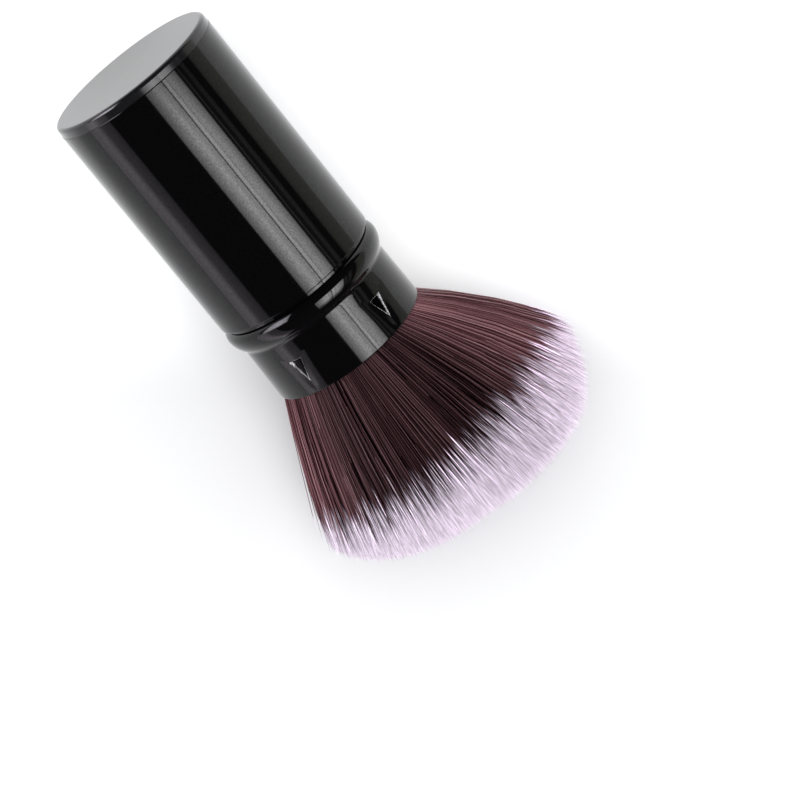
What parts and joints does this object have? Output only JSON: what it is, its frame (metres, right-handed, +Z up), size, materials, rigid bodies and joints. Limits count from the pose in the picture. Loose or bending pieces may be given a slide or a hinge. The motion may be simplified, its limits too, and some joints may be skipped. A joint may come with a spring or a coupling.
{
  "type": "kabuki makeup brush",
  "caption": "Short kabuki makeup brush with a gloss black tube handle, a beaded and staked ferrule and a wide domed two-tone bristle tuft, lying on its side.",
  "frame": {"origin": "centre of the handle's flat base face", "axes": "+X along the brush's axis from the base face to the bristle tips, +Z up; the brush lies on its side with its axis horizontal, resting on the ferrule's bead, the handle's far end and the flattened underside of the bristles"},
  "size_m": [0.0893, 0.0501, 0.0343],
  "materials": {
    "handle_lacquer": "gloss",
    "ferrule_lacquer": "gloss",
    "cap_plastic": "gloss",
    "core_plastic": "matte",
    "weight_steel": "satin",
    "resin": "gloss",
    "bristles": "satin, dark fibres with pale lavender tips"
  },
  "bodies": {
    "root": {"handle_shell": "handle_lacquer", "base_cap": "cap_plastic", "handle_core": "core_plastic", "base_weight": "weight_steel", "ferrule": "ferrule_lacquer", "knot_cup": "core_plastic", "knot_resin": "resin", "bristle_tuft": "bristles"}
  },
  "joints": []
}
